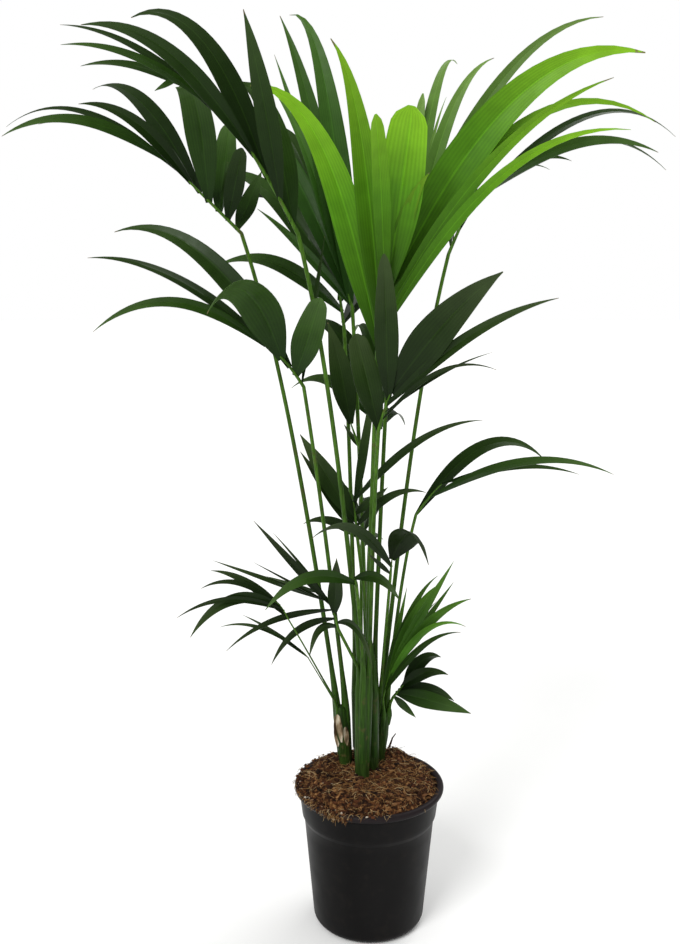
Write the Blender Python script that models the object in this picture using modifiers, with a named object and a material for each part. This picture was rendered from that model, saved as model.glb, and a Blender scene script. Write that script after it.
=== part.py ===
# Kentia palm, about 1.5 m tall, growing as a clump in a 25 cm nursery pot.
# Metres, +Z up, origin at the middle of the pot's underside, +X to the right and +Y to the back.

import math

import bpy
import bmesh
from mathutils import Vector

# The pot, a thin moulded tub with a rolled lip, a collar and a rounded foot
POT_HEIGHT = 0.248
LIP_RADIUS = 0.125
LIP_DROP = 0.012
COLLAR_TOP_RADIUS = 0.1175
COLLAR_FOOT_RADIUS = 0.1125
COLLAR_FOOT = 0.195
STEP_HEIGHT = 0.008
WALL_TOP_RADIUS = 0.1090
WALL_FOOT_RADIUS = 0.0940
CORNER_RADIUS = 0.015
POT_WALL = 0.0022
DRAIN_RADIUS = 0.006
DRAIN_CIRCLE = 0.055
DRAIN_COUNT = 6
TURN_STEPS = 40

# The potting mix, heaped to a level crown where the stems stand
SOIL_EDGE = 0.237
SOIL_CROWN = 0.2627
CROWN_RADIUS = 0.078
LUMP_HEIGHT = 0.0022
SOIL_RINGS = 6

# Pieces that touch keep this much air between them
GAP = 0.0003

# A stalk sits this far from the middle of its stem's top, and starts and ends with a short straight piece
SEAT_RADIUS = 0.0088
STRAIGHT = 0.006
GROWTH_STEPS = 24
LIMB_RINGS = 5
RIB_RINGS = 3
SHORT_STALK = 5
SHORT_RINGS = 2
STALK_HEAD_SHARE = 0.66
STALK_TAPER_POWER = 0.6
STEM_RINGS = (0.33, 0.67)
STEM_FLARE = 1.12
STEM_FOOT_STRAIGHT = 0.010

# Leaves begin a little way up the rib and are broadest at about a third of their length
BARE_RIB = 0.06
LEAF_ROOT = 0.22
BROADEST = 0.38
TAPER_POWER = 1.7
BEND_POWER = 1.5
KEEL_SHARE = 0.0115
LEAST_KEEL = 0.0016
LEAF_STATIONS = (0.0, 0.12, 0.34, 0.58, 0.82)
ROOT_DEPTH = 0.0022
FACE_RISE = 25.0
RIB_TIP_SHARE = 0.5
KEEL_LEAST = 0.35
SHARP_ANGLE = 35

# Each stem: where its foot is, where its top is, and its radius at the foot and at the top
STEMS = {
    "left": dict(foot=(-0.040, 0.040), top=(-0.048, 0.034, 0.368), radii=(0.0105, 0.0136)),
    "front": dict(foot=(-0.012, -0.006), top=(-0.010, -0.010, 0.448), radii=(0.0120, 0.0138)),
    "back": dict(foot=(0.006, 0.018), top=(0.003, 0.026, 0.433), radii=(0.0105, 0.0136)),
    "right": dict(foot=(0.018, 0.052), top=(0.026, 0.046, 0.353), radii=(0.0100, 0.0136)),
    "rear": dict(foot=(-0.014, 0.056), top=(-0.014, 0.074, 0.408), radii=(0.0110, 0.0136)),
}

# Each frond: the stem it comes from and its seat round that stem's top in degrees, then its stalk and its rib.
# A limb or a leaf sets off at a fan angle, in degrees to the right of upright as the clump is seen from the
# front, and at a lean, in degrees to the back, and its droop bends it down more and more towards its tip.
# stalk: fan, lean, length in cm, droop, radius at the foot in mm. rib: fan, lean, length in cm, droop.
# leaves: fan, length in cm, width in mm, droop, from the foot of the rib to its end. They stand on the rib's
# two sides by turns, and lean by lean + spread on one side and lean - spread on the other. A fifth number is
# a leaf's own lean.
FRONDS = {
    "upper_left": dict(
        stem="left", seat=140, stalk=(-8, 1.5, 78.5, 0.56, 4.6), rib=(-46, 8, 15.5, 0.0), lean=10, spread=26,
        colour="deep",
        leaves=[(21, 12, 15, 0.0), (14, 11.5, 20, 0.0), (4, 17.5, 32, 0.0), (-3, 22, 47, 1.1),
                (-31, 45, 34, 0.8), (-34, 21.5, 22, 0.9), (-52, 52, 13, 0.8), (-54, 27.5, 18, 1.1)]),
    "top_left": dict(
        stem="front", seat=130, stalk=(-5.5, -3.5, 70, 0.6, 4.8), rib=(-27, -8, 27.5, 0.65), lean=-14, spread=16,
        colour="deep",
        leaves=[(-9, 23.5, 42, 1.1), (-7, 29, 32, 0.4), (-19, 32.5, 35, 1.1), (-32, 33.5, 27, 0.9),
                (-44, 29.5, 12, 0.7), (-51, 25, 13, 0.7), (-61, 17.5, 13, 0.7), (-123, 4, 10, 0.0)]),
    "crown_back": dict(
        stem="back", seat=140, stalk=(-2, 4.5, 59, 0.4, 4.6), rib=(-18, 12, 4, 0.2), lean=16, spread=9,
        colour="mid",
        leaves=[(-40, 25, 17, 0.3), (-5, 51.5, 42, 1.0), (-22, 48, 38, 0.7), (-10, 45.5, 34, 0.6),
                (-16, 45.5, 17, 0.2), (-14, 35, 17, 0.7)]),
    "lime": dict(
        stem="front", seat=50, stalk=(1, -5, 52.5, 0.4, 4.8), rib=(9, -5, 9.5, 0.0), lean=-12, spread=10,
        colour="bright",
        leaves=[(-12, 43.5, 49, 1.0), (28, 50.5, 18, 0.9), (-5, 41.5, 42, 0.9), (28, 49, 20, 0.7),
                (27, 53, 20, 1.2), (-3, 30.5, 25, 0.7), (26, 52.5, 57, 1.0), (6, 26.5, 64, 0.0)]),
    "pale_right": dict(
        stem="back", seat=50, stalk=(2, 6, 62.5, 0.6, 4.6), rib=(22, 14, 11, 0.0), lean=13, spread=9,
        colour="pale",
        leaves=[(9, 34, 24, 0.0), (23, 53.5, 24, 0.9), (8, 47, 22, 1.0), (13, 30.5, 24, 0.9)]),
    "right_high": dict(
        stem="right", seat=130, stalk=(5.5, 1.5, 76, 0.6, 4.4), rib=(23, 12, 16, 0.75), lean=14, spread=16,
        colour="deep",
        leaves=[(-1, 7.5, 7, 0.0), (18, 11.5, 17, 0.0), (44, 60.5, 15, 1.0), (52, 31, 22, 1.0),
                (57, 45, 13, 1.0), (57, 12, 10, 0.9)]),
    "mid_left": dict(
        stem="left", seat=20, stalk=(-6, -5, 54.5, 0.28, 4.4), rib=(-32, -5, 9, 0.6), lean=-8, spread=20,
        colour="deep",
        leaves=[(9, 23, 10, 0.0), (18, 14.5, 45, 0.0), (-32, 39, 37, 1.0), (-17, 25, 58, 1.4),
                (-49, 34.5, 17, 0.7), (-48, 30.3, 17, 1.2)]),
    "mid_right": dict(
        stem="front", seat=340, stalk=(1, -7.5, 41, 0.6, 4.6), rib=(14, -8, 6.5, 0.35), lean=-14, spread=14,
        colour="dark",
        leaves=[(-14, 14.5, 40, 0.0), (36, 23.5, 7, 0.9), (52, 18.5, 5, 0.4), (41, 33, 18, 0.5),
                (-3, 22.6, 35, 0.0, -20), (31, 27, 54, 0.4)]),
    "mid_back": dict(
        stem="back", seat=215, stalk=(-2, 3, 36.5, 0.0, 4.2), rib=(-20, 15, 4.5, 0.0), lean=20, spread=14,
        colour="dark",
        leaves=[(-37, 5, 8, 0.0), (-10, 16.5, 39, 0.5)]),
    "mid_dark": dict(
        stem="back", seat=300, stalk=(-7, -1, 23, 0.0, 4.2), rib=(-5, 0, 5.5, 0.45), lean=-6, spread=12,
        colour="dark",
        leaves=[(-35, 16, 20, 0.0), (36, 14.8, 14, 0.9), (-33, 16.5, 34, 0.0), (46, 7.5, 15, 0.0),
                (9, 17.5, 15, 0.0), (37, 27.1, 13, 0.7)]),
    "right_low": dict(
        stem="right", seat=60, stalk=(5, -4, 34.5, 0.6, 3.8), rib=(36, 5, 6.5, 0.25), lean=4, spread=14,
        colour="deep",
        leaves=[(38, 30, 24, 1.4), (58, 30.5, 15, 0.9), (76, 25.5, 10, 0.6)]),
    "curl_right": dict(
        stem="right", seat=195, stalk=(3, -16, 26.5, 0.0, 3.6), rib=(3, -10, 3, 0.55), lean=-12, spread=14,
        colour="dark",
        leaves=[(-40, 6.5, 8, 0.0, -30), (-30, 20.5, 18, 1.1), (15, 17, 42, 1.6, -35)]),
    "front_low": dict(
        stem="front", seat=265, stalk=(-4, -17.5, 17, 0.24, 4.2), rib=(-7, -20, 1.5, 0.9), lean=-34, spread=6,
        colour="deep",
        leaves=[(-59, 17.5, 20, 1.4), (56, 10.5, 17, 1.5)]),
    "lower_left": dict(
        stem="front", seat=195, stalk=(-24, -13, 7.7, 0.0, 3.8), rib=(-13, 0, 6.5, 0.8), lean=-6, spread=22,
        colour="dark",
        leaves=[(-74, 8.5, 13, 5.5), (52, 12, 13, 2.8, -46), (-100, 15, 13, 2.0), (2, 12.5, 24, 0.0),
                (-99, 21, 11, 0.9), (-34, 23, 13, 0.0), (-75, 20.5, 9, 0.0), (-30, 17.5, 5, 0.1),
                (-77, 10, 6, 0.0)]),
    "thin_left": dict(
        stem="left", seat=225, stalk=(-22, -24, 21.5, 0.06, 1.8), rib=(-22, -10, 4, 0.8), lean=-16, spread=12,
        colour="dark",
        leaves=[(-41, 14.5, 15, 0.7), (-58, 19, 10, 0.9), (-50, 13.5, 10, 1.1), (-63, 16.0, 18, 1.7)]),
    "thread_left": dict(
        stem="left", seat=185, stalk=(-26, -15.5, 10, 0.0, 1.3), rib=(-35, -4, 2, 0.4), lean=14, spread=8,
        colour="dark",
        leaves=[(-57, 13.5, 7, 0.3), (-55, 14.5, 7, 0.9)]),
    "lower_bright": dict(
        stem="right", seat=265, stalk=(-4, -14, 2, 0.2, 2.8), rib=(12, -10, 7, 0.1), lean=-12, spread=12,
        colour="fresh",
        leaves=[(11, 19.5, 12, 0.0), (25, 22.5, 12, 0.7), (14, 21.5, 15, 0.8), (21, 24.5, 12, 0.9),
                (17, 19, 17, 0.8), (25, 24.5, 18, 0.6), (34, 18, 12, 0.0), (23, 24.5, 15, 0.0)]),
    "lower_dark": dict(
        stem="right", seat=350, stalk=(14, 20, 1.5, 0.6, 3.6), rib=(40, 6, 3, 0.0), lean=6, spread=16,
        colour="deep",
        leaves=[(142, 7, 13, 0.0), (98, 13, 30, 0.2), (91, 11.5, 22, 0.9), (45, 9, 22, 1.0),
                (35, 9.5, 24, 1.2)]),
    "back_high": dict(
        stem="rear", seat=200, stalk=(-1.5, 5, 58, 0.5, 4.6), rib=(-8, 32, 16, 0.6), lean=40, spread=14,
        colour="deep",
        leaves=[(34, 26, 30, 1.0), (-48, 30, 30, 1.0), (20, 36, 42, 0.9), (-30, 40, 40, 0.9),
                (4, 42, 42, 1.0), (-14, 42, 38, 1.0), (22, 30, 24, 1.2), (-34, 28, 22, 1.2)]),
    "back_mid": dict(
        stem="rear", seat=320, stalk=(2, 8, 40, 0.5, 4.2), rib=(4, 42, 12, 0.8), lean=46, spread=16,
        colour="deep",
        leaves=[(40, 20, 24, 1.2), (-42, 22, 26, 1.2), (24, 30, 34, 1.2), (-24, 30, 34, 1.2),
                (2, 32, 34, 1.4), (-8, 24, 20, 1.4)]),
    "back_low": dict(
        stem="rear", seat=80, stalk=(0, 12, 20, 0.3, 3.8), rib=(6, 45, 7, 0.8), lean=50, spread=16,
        colour="dark",
        leaves=[(56, 13, 18, 1.0), (-58, 14, 18, 1.0), (30, 18, 24, 1.0), (-30, 18, 24, 1.0),
                (4, 19, 22, 1.2)]),
}

# Colour, roughness and metallic value of each finish
FINISHES = {
    "pot_black": ((0.012, 0.011, 0.011), 0.42, 0.0),
    "coir_mix": ((0.075, 0.040, 0.020), 0.95, 0.0),
    "stem_green": ((0.045, 0.085, 0.020), 0.45, 0.0),
    "stalk_green": ((0.060, 0.140, 0.025), 0.40, 0.0),
    "bright": ((0.230, 0.430, 0.030), 0.42, 0.0),
    "fresh": ((0.110, 0.260, 0.025), 0.42, 0.0),
    "pale": ((0.200, 0.320, 0.090), 0.48, 0.0),
    "mid": ((0.060, 0.140, 0.025), 0.42, 0.0),
    "deep": ((0.014, 0.060, 0.012), 0.38, 0.0),
    "dark": ((0.012, 0.036, 0.010), 0.40, 0.0),
}


def clear_scene():
    """Take away whatever the file holds."""
    for thing in list(bpy.data.objects):
        bpy.data.objects.remove(thing, do_unlink=True)


def new_collection(name):
    """A collection of the scene's own."""
    collection = bpy.data.collections.new(name)
    bpy.context.scene.collection.children.link(collection)
    return collection


def finish(name):
    """The material of one finish, made once."""
    if name in bpy.data.materials:
        return bpy.data.materials[name]
    colour, roughness, metallic = FINISHES[name]
    material = bpy.data.materials.new(name)
    material.use_nodes = True
    shader = material.node_tree.nodes["Principled BSDF"]
    shader.inputs["Base Color"].default_value = (*colour, 1.0)
    shader.inputs["Roughness"].default_value = roughness
    shader.inputs["Metallic"].default_value = metallic
    material.diffuse_color = (*colour, 1.0)
    return material


def evaluated_mesh(thing, merge=0.00001):
    """The object's mesh with its modifiers, or its curve made solid, with doubled points merged."""
    depsgraph = bpy.context.evaluated_depsgraph_get()
    mesh = bpy.data.meshes.new_from_object(thing.evaluated_get(depsgraph))
    bm = bmesh.new()
    bm.from_mesh(mesh)
    bmesh.ops.remove_doubles(bm, verts=bm.verts, dist=merge)
    bmesh.ops.recalc_face_normals(bm, faces=bm.faces)
    bm.to_mesh(mesh)
    bm.free()
    return mesh


# Growth

def heading(fan, lean):
    """The direction of something that sets off at a fan and a lean angle."""
    fan = math.radians(fan)
    lean = math.radians(lean)
    return Vector((math.sin(fan) * math.cos(lean), math.sin(lean), math.cos(fan) * math.cos(lean)))


def grow(start, fan, lean, length, droop):
    """Points along a limb or a leaf that bends down under its own weight."""
    points = [Vector(start)]
    aim = heading(fan, lean)
    for i in range(GROWTH_STEPS):
        t = (i + 0.5) / GROWTH_STEPS
        bend = Vector((0, 0, -droop * t ** BEND_POWER))
        points.append(points[-1] + (aim + bend).normalized() * (length / GROWTH_STEPS))
    return points


def along(points, share):
    """The place at a share of the way along a path, and the direction there."""
    place = share * (len(points) - 1)
    i = min(int(place), len(points) - 2)
    step = points[i + 1] - points[i]
    return points[i] + step * (place - i), step.normalized()


def blade_sides(path, face):
    """The direction across a blade at each point of its path, carried along without twisting."""
    across = (path[1] - path[0]).cross(face).normalized()
    sides = []
    for i in range(len(path)):
        step = path[min(i + 1, len(path) - 1)] - path[min(i, len(path) - 2)]
        step.normalize()
        across = (across - step * across.dot(step)).normalized()
        sides.append(across)
    return sides


def leaf_width(t):
    """How wide a leaf is at t along it, as a share of its greatest width."""
    opening = LEAF_ROOT + (1 - LEAF_ROOT) * math.sin(min(t / BROADEST, 1) * math.pi / 2)
    closing = 1 - max((t - BROADEST) / (1 - BROADEST), 0) ** TAPER_POWER
    return opening * closing


# Shapes

def turned(name, profile, collection, material):
    """A solid turned from a profile that starts and ends on the axis."""
    mesh = bpy.data.meshes.new(name)
    edges = [(i, i + 1) for i in range(len(profile) - 1)]
    mesh.from_pydata([(r, 0, z) for r, z in profile], edges, [])
    thing = bpy.data.objects.new(name, mesh)
    collection.objects.link(thing)
    screw = thing.modifiers.new("turn", 'SCREW')
    screw.steps = TURN_STEPS
    screw.render_steps = TURN_STEPS
    screw.use_merge_vertices = True
    screw.merge_threshold = 0.0001
    screw.use_smooth_shade = True
    mesh.materials.append(material)
    return thing


def arc(centre_r, centre_z, radius, start, end, count):
    """Profile points round part of a circle, angles in degrees from +r."""
    points = []
    for i in range(count + 1):
        a = math.radians(start + (end - start) * i / count)
        points.append((centre_r + radius * math.cos(a), centre_z + radius * math.sin(a)))
    return points


def limb(name, points, radii, collection, material):
    """A tapering round limb as a curve with filled ends."""
    curve = bpy.data.curves.new(name, 'CURVE')
    curve.dimensions = '3D'
    curve.bevel_depth = 1.0
    curve.bevel_resolution = 2
    curve.use_fill_caps = True
    spline = curve.splines.new('POLY')
    spline.points.add(len(points) - 1)
    for point, place, radius in zip(spline.points, points, radii):
        point.co = (*place, 1)
        point.radius = radius
    spline.use_smooth = True
    thing = bpy.data.objects.new(name, curve)
    collection.objects.link(thing)
    curve.materials.append(material)
    return thing


def leaf(name, path, length, width, face, collection):
    """A folded blade: a three-sided cone cut into stations and laid along its path."""
    bm = bmesh.new()
    bmesh.ops.create_cone(bm, cap_ends=True, segments=3, radius1=1, radius2=0, depth=1)
    bmesh.ops.translate(bm, verts=bm.verts, vec=(0, 0, 0.5))
    for t in LEAF_STATIONS[1:]:
        bmesh.ops.bisect_plane(bm, geom=bm.verts[:] + bm.edges[:] + bm.faces[:], dist=0.00001,
                               plane_co=(0, 0, t), plane_no=(0, 0, 1))
    keel = max(KEEL_SHARE * length, LEAST_KEEL)
    sides = blade_sides(path, face)
    for vert in bm.verts:
        t = vert.co.z
        corner = math.atan2(vert.co.y, vert.co.x)
        spot, direction = along(path, t)
        across = sides[min(round(t * GROWTH_STEPS), GROWTH_STEPS)]
        outward = across.cross(direction)
        size = leaf_width(t)
        depth = keel * (KEEL_LEAST + (1 - KEEL_LEAST) * size) / 2
        if t > 0.999:
            offset = Vector((0, 0, 0))
        elif abs(corner - math.pi / 2) < 0.1:
            offset = -outward * depth
        else:
            side = 1 if math.cos(corner) > 0 else -1
            offset = across * side * width * size / 2 + outward * depth
        vert.co = spot + offset
    bmesh.ops.recalc_face_normals(bm, faces=bm.faces)
    mesh = bpy.data.meshes.new(name)
    bm.to_mesh(mesh)
    bm.free()
    thing = bpy.data.objects.new(name, mesh)
    collection.objects.link(thing)
    return thing


def fused(name, core, pieces, collection, material):
    """The core and every piece of a collection joined to one closed solid, any loose scrap dropped."""
    join = core.modifiers.new("join", 'BOOLEAN')
    join.operation = 'UNION'
    join.operand_type = 'COLLECTION'
    join.collection = pieces
    join.solver = 'EXACT'
    mesh = evaluated_mesh(core, 0.0000005)
    bm = bmesh.new()
    bm.from_mesh(mesh)
    keep_largest_body(bm)
    bm.to_mesh(mesh)
    bm.free()
    mesh.materials.clear()
    mesh.materials.append(material)
    thing = bpy.data.objects.new(name, mesh)
    collection.objects.link(thing)
    for piece in list(pieces.objects) + [core]:
        bpy.data.objects.remove(piece, do_unlink=True)
    mesh.shade_smooth()
    mesh.set_sharp_from_angle(angle=math.radians(SHARP_ANGLE))
    return thing


def keep_largest_body(bm):
    """Delete every body of the mesh but the one with most faces: scraps and sealed hollows."""
    left = set(bm.faces)
    bodies = []
    while left:
        body = set()
        front = [left.pop()]
        while front:
            face = front.pop()
            body.add(face)
            for edge in face.edges:
                for other in edge.link_faces:
                    if other in left:
                        left.remove(other)
                        front.append(other)
        bodies.append(body)
    bodies.sort(key=len, reverse=True)
    for body in bodies[1:]:
        bmesh.ops.delete(bm, geom=list(body), context='FACES')
    loose = [vert for vert in bm.verts if not vert.link_faces]
    bmesh.ops.delete(bm, geom=loose, context='VERTS')


# The pot and what it holds

def pot_profile(inset):
    """The pot's outer side from under the lip to the foot, moved in by a wall or a gap."""
    slope = math.atan2(WALL_TOP_RADIUS - WALL_FOOT_RADIUS, COLLAR_FOOT - STEP_HEIGHT - CORNER_RADIUS)
    radius = CORNER_RADIUS - inset
    side = [(COLLAR_TOP_RADIUS - inset, POT_HEIGHT - LIP_DROP),
            (COLLAR_FOOT_RADIUS - inset, COLLAR_FOOT),
            (WALL_TOP_RADIUS - inset, COLLAR_FOOT - STEP_HEIGHT)]
    corner = arc(WALL_FOOT_RADIUS - CORNER_RADIUS, CORNER_RADIUS, radius, math.degrees(-slope) + 2, -90, 5)
    return side + corner


def build_pot(collection, cutters):
    """The tub, with drain holes through its floor clear of the middle."""
    outer = pot_profile(0)
    inner = pot_profile(POT_WALL)
    lip_centre = LIP_RADIUS - LIP_DROP / 2
    lip = arc(lip_centre, POT_HEIGHT - LIP_DROP / 2, LIP_DROP / 2, 150, -75, 8)
    profile = [(0, POT_WALL)] + inner[::-1] + lip + outer + [(0, 0)]
    pot = turned("pot", profile, collection, finish("pot_black"))
    bm = bmesh.new()
    for i in range(DRAIN_COUNT):
        a = 2 * math.pi * (i + 0.5) / DRAIN_COUNT
        made = bmesh.ops.create_cone(bm, cap_ends=True, segments=12, radius1=DRAIN_RADIUS,
                                     radius2=DRAIN_RADIUS, depth=4 * POT_WALL)
        place = (DRAIN_CIRCLE * math.cos(a), DRAIN_CIRCLE * math.sin(a), 0)
        bmesh.ops.translate(bm, verts=made["verts"], vec=place)
    mesh = bpy.data.meshes.new("drain_cutter")
    bm.to_mesh(mesh)
    bm.free()
    cutter = bpy.data.objects.new("drain_cutter", mesh)
    cutters.objects.link(cutter)
    cutter.hide_render = True
    cutter.display_type = 'WIRE'
    cut = pot.modifiers.new("drains", 'BOOLEAN')
    cut.operation = 'DIFFERENCE'
    cut.object = cutter
    return pot


def lump(x, y):
    """How far the mix stands up or sinks at a place, from crossing waves."""
    waves = math.sin(95 * x + 1.3) * math.cos(80 * y) + math.sin(61 * x - 70 * y + 0.7)
    return LUMP_HEIGHT * waves


def build_soil(collection):
    """The potting mix, which fills the pot and is lumpy round its level crown."""
    side = pot_profile(POT_WALL + GAP)
    slope_start = side[0][0]
    edge = slope_start - (side[0][1] - SOIL_EDGE) * (side[0][0] - side[1][0]) / (side[0][1] - side[1][1])
    top = [(0, SOIL_CROWN), (CROWN_RADIUS / 2, SOIL_CROWN), (CROWN_RADIUS, SOIL_CROWN)]
    for i in range(1, SOIL_RINGS + 1):
        share = i / SOIL_RINGS
        drop = (SOIL_CROWN - SOIL_EDGE) * (1 - math.cos(share * math.pi / 2))
        top.append((CROWN_RADIUS + (edge - CROWN_RADIUS) * share, SOIL_CROWN - drop))
    bottom = [(r, max(z, POT_WALL + GAP)) for r, z in side[1:]]
    profile = top + bottom + [(0, POT_WALL + GAP)]
    rough = turned("soil_rough", profile, collection, finish("coir_mix"))
    mesh = evaluated_mesh(rough)
    for vert in mesh.vertices:
        r = math.hypot(vert.co.x, vert.co.y)
        if vert.co.z > SOIL_EDGE + 0.001 and r > CROWN_RADIUS + 0.001:
            vert.co.z += lump(vert.co.x, vert.co.y)
    soil = bpy.data.objects.new("soil", mesh)
    collection.objects.link(soil)
    bpy.data.objects.remove(rough, do_unlink=True)
    return soil


# Stems, stalks and fronds

def build_stem(name, spec, collection):
    """A stem from its flat cut on the mix to its level top, flared at the foot."""
    foot = Vector((*spec["foot"], SOIL_CROWN + GAP))
    top = Vector(spec["top"])
    up = Vector((0, 0, 1))
    low = foot + up * STEM_FOOT_STRAIGHT
    high = top - up * STRAIGHT
    places = [foot, low]
    for share in STEM_RINGS:
        places.append(low.lerp(high, share))
    places += [high, top]
    foot_radius, top_radius = spec["radii"]
    radii = [foot_radius * STEM_FLARE, foot_radius * (1 + STEM_FLARE) / 2]
    for share in (*STEM_RINGS, 1, 1):
        radii.append(foot_radius + (top_radius - foot_radius) * share)
    return limb("stem_" + name, places, radii, collection, finish("stem_green"))


def stalk_path(spec):
    """The stalk's own points, from the level top of its stem."""
    fan, lean, length, droop, _ = spec["stalk"]
    seat = math.radians(spec["seat"])
    top = Vector(STEMS[spec["stem"]]["top"])
    foot = top + Vector((math.cos(seat), math.sin(seat), 0)) * SEAT_RADIUS
    return foot, grow(foot + Vector((0, 0, STRAIGHT)), fan, lean, length / 100, droop)


def build_stalk(name, spec, collection):
    """The stalk, thick at the foot, ending in a short straight piece under the frond."""
    foot, path = stalk_path(spec)
    radius = spec["stalk"][4] / 1000
    head_radius = radius * STALK_HEAD_SHARE
    places = [foot + Vector((0, 0, GAP))]
    radii = [radius]
    rings = LIMB_RINGS if spec["stalk"][2] > SHORT_STALK else SHORT_RINGS
    for i in range(rings + 1):
        share = i / rings
        places.append(along(path, share)[0])
        radii.append(radius + (head_radius - radius) * share ** STALK_TAPER_POWER)
    direction = along(path, 1)[1]
    places.append(path[-1] + direction * STRAIGHT / 2)
    radii.append(head_radius)
    limb("stalk_" + name, places, radii, collection, finish("stalk_green"))


def build_frond(name, spec, collection):
    """A rib with its leaves fused on, starting just clear of its stalk."""
    _, stalk = stalk_path(spec)
    direction = along(stalk, 1)[1]
    head = stalk[-1] + direction * STRAIGHT
    fan, lean, length, droop = spec["rib"]
    rib = grow(head, fan, lean, length / 100, droop)
    radius = spec["stalk"][4] / 1000 * STALK_HEAD_SHARE
    places = [stalk[-1] + direction * (STRAIGHT / 2 + GAP)]
    radii = [radius]
    for i in range(RIB_RINGS + 1):
        share = i / RIB_RINGS
        places.append(along(rib, share)[0])
        radii.append(radius * (1 - (1 - RIB_TIP_SHARE) * share))
    tube = limb("rib_" + name, places, radii, collection, finish(spec["colour"]))
    core = bpy.data.objects.new("core_" + name, evaluated_mesh(tube))
    collection.objects.link(core)
    bpy.data.objects.remove(tube, do_unlink=True)
    blades = new_collection("leaves_" + name)
    rise = math.radians(FACE_RISE)
    face = Vector((0, -math.cos(rise), math.sin(rise)))
    last = len(spec["leaves"]) - 1
    for i, (leaf_fan, leaf_length, width, leaf_droop, *own_lean) in enumerate(spec["leaves"]):
        share = BARE_RIB + (1 - BARE_RIB) * i / last
        leaf_lean = spec["lean"] + spec["spread"] * (1 if i % 2 == 0 else -1)
        if own_lean:
            leaf_lean = own_lean[0]
        root = along(rib, share)[0]
        aim = heading(leaf_fan, leaf_lean)
        path = grow(root, leaf_fan, leaf_lean, leaf_length / 100, leaf_droop)
        path[0] = root - aim * ROOT_DEPTH
        leaf("leaf_%s_%d" % (name, i), path, leaf_length / 100, width / 1000, face, blades)
    fused("frond_" + name, core, blades, collection, finish(spec["colour"]))
    bpy.data.collections.remove(blades)


def main():
    clear_scene()
    palm = new_collection("potted_kentia_palm")
    cutters = new_collection("cutters")
    build_pot(palm, cutters)
    build_soil(palm)
    for name, spec in STEMS.items():
        build_stem(name, spec, palm)
    for name, spec in FRONDS.items():
        build_stalk(name, spec, palm)
        build_frond(name, spec, palm)


main()
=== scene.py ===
# Potted kentia palm: leaves, stems, pot and potting mix with their finishes, and the camera and light.
import math
import random

import bpy
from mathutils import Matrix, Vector, noise


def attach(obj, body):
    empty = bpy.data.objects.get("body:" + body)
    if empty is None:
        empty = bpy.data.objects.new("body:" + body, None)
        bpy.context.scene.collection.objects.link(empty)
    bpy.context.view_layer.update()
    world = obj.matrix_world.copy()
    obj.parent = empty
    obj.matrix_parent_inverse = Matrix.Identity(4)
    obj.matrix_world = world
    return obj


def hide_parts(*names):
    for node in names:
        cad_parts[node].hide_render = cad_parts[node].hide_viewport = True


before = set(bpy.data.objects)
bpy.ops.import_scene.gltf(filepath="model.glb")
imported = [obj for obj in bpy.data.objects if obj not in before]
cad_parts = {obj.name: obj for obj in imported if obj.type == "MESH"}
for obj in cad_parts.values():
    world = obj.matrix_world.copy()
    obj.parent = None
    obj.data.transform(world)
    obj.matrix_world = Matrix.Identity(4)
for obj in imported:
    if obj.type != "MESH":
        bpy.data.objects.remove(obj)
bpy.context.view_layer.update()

random.seed(21)
up = Vector((0, 0, 1))

# How everything grows: the same rule as the solids
straight = 0.006
seatRadius = 0.0088
growthSteps = 24
bendPower = 1.5
bareRib = 0.06
headShare = 0.66
leafForm = dict(root=0.22, broadest=0.38, taper=1.7, rootDepth=0.0022, faceRise=25)
soilForm = dict(edge=0.237, crown=0.2627, crownRadius=0.078, rim=0.1148)


def heading(fan, lean):
    fan = math.radians(fan)
    lean = math.radians(lean)
    return Vector((math.sin(fan) * math.cos(lean), math.sin(lean), math.cos(fan) * math.cos(lean)))


def grow(start, fan, lean, length, droop):
    points = [Vector(start)]
    aim = heading(fan, lean)
    for i in range(growthSteps):
        t = (i + 0.5) / growthSteps
        bend = Vector((0, 0, -droop * t ** bendPower))
        points.append(points[-1] + (aim + bend).normalized() * (length / growthSteps))
    return points


def along(points, share):
    place = min(max(share, 0), 1) * (len(points) - 1)
    i = min(int(place), len(points) - 2)
    step = points[i + 1] - points[i]
    return points[i] + step * (place - i), step.normalized()


def carried(path, face):
    # the direction across a blade at each point, without twisting
    across = (path[1] - path[0]).cross(face).normalized()
    sides = []
    for i in range(len(path)):
        step = path[min(i + 1, len(path) - 1)] - path[min(i, len(path) - 2)]
        step.normalize()
        across = (across - step * across.dot(step)).normalized()
        sides.append(across)
    return sides


def leafWidth(t):
    form = leafForm
    opening = form["root"] + (1 - form["root"]) * math.sin(min(t / form["broadest"], 1) * math.pi / 2)
    closing = 1 - max((t - form["broadest"]) / (1 - form["broadest"]), 0) ** form["taper"]
    return opening * closing


# Small helpers for modelling

def pick(piece):
    bpy.ops.object.select_all(action='DESELECT')
    piece.select_set(True)
    bpy.context.view_layer.objects.active = piece


def joined(pieces, name):
    bpy.ops.object.select_all(action='DESELECT')
    for piece in pieces:
        piece.select_set(True)
    bpy.context.view_layer.objects.active = pieces[0]
    if len(pieces) > 1:
        bpy.ops.object.join()
    whole = bpy.context.view_layer.objects.active
    whole.name = name
    whole.data.name = name
    return whole


def copyOf(model, name):
    mesh = model.data.copy()
    piece = bpy.data.objects.new(name, mesh)
    bpy.context.scene.collection.objects.link(piece)
    return piece


def mark(piece, name, values):
    attribute = piece.data.attributes.new(name, 'FLOAT', 'POINT')
    attribute.data.foreach_set("value", values)


def dressed(piece, paint, slotName, *nodes):
    piece.data.materials.clear()
    piece.data.materials.append(paint)
    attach(piece, "root")
    if nodes:
        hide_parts(*nodes)


def smoothed(piece, degrees):
    pick(piece)
    bpy.ops.object.shade_smooth_by_angle(angle=math.radians(degrees))


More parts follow.
